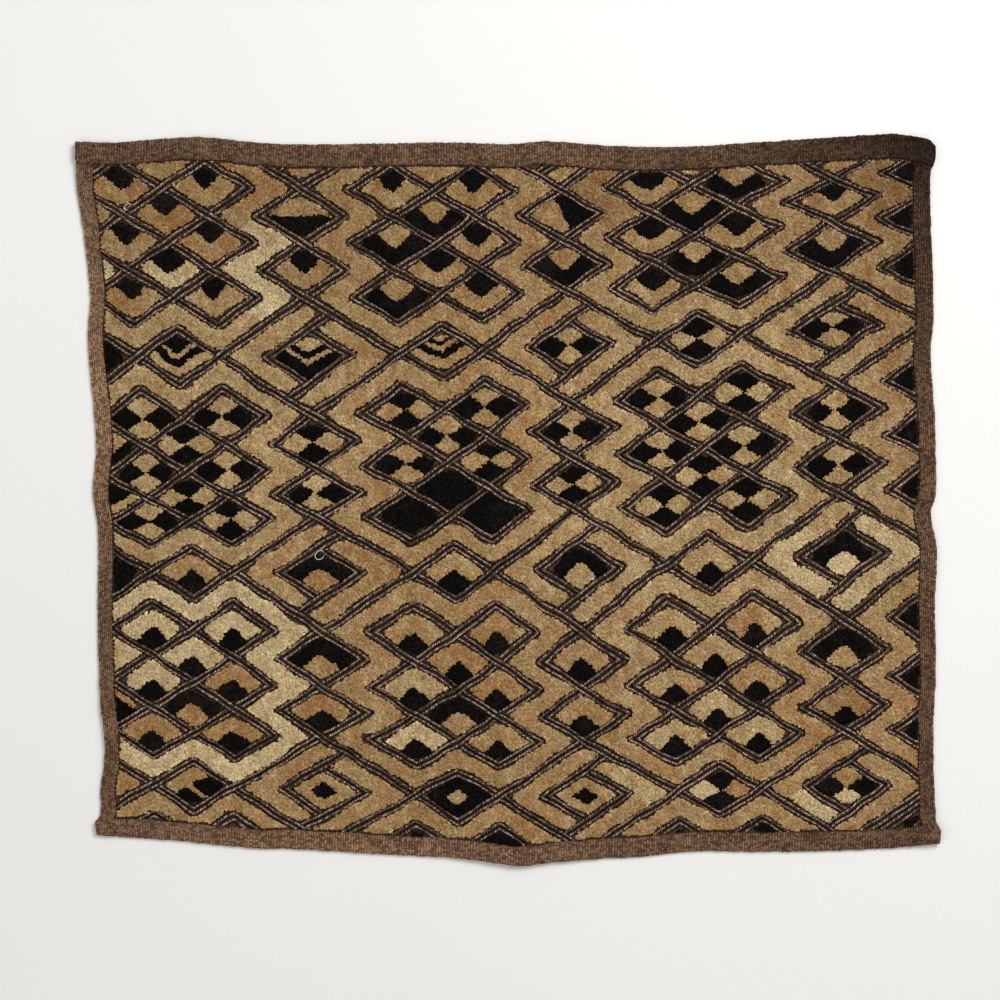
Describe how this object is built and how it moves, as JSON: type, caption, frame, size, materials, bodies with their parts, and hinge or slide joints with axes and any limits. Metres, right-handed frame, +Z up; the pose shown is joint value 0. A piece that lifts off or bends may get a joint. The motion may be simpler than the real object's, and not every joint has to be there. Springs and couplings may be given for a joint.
{
  "type": "cut-pile raffia cloth",
  "caption": "Rectangular raffia cloth lying flat, with wavering edges turned over as a hem and a field of short cut pile and stitched interlace, for display or as a seat or wall panel.",
  "frame": {"origin": "under the middle of the cloth's outline, on the surface it lies on", "axes": "+X along the longer side, +Y along the shorter side towards the top edge, +Z up out of the pile face"},
  "size_m": [0.5852, 0.4958, 0.0061],
  "materials": {
    "raffia_ground": "matt plain-woven raffia",
    "pile_straw": "cut raffia pile",
    "pile_black": "cut raffia pile",
    "stitch_dark": "stem-stitched raffia",
    "stitch_light": "stem-stitched raffia"
  },
  "bodies": {
    "root": {"raffia_cloth": "raffia_ground"}
  },
  "joints": []
}
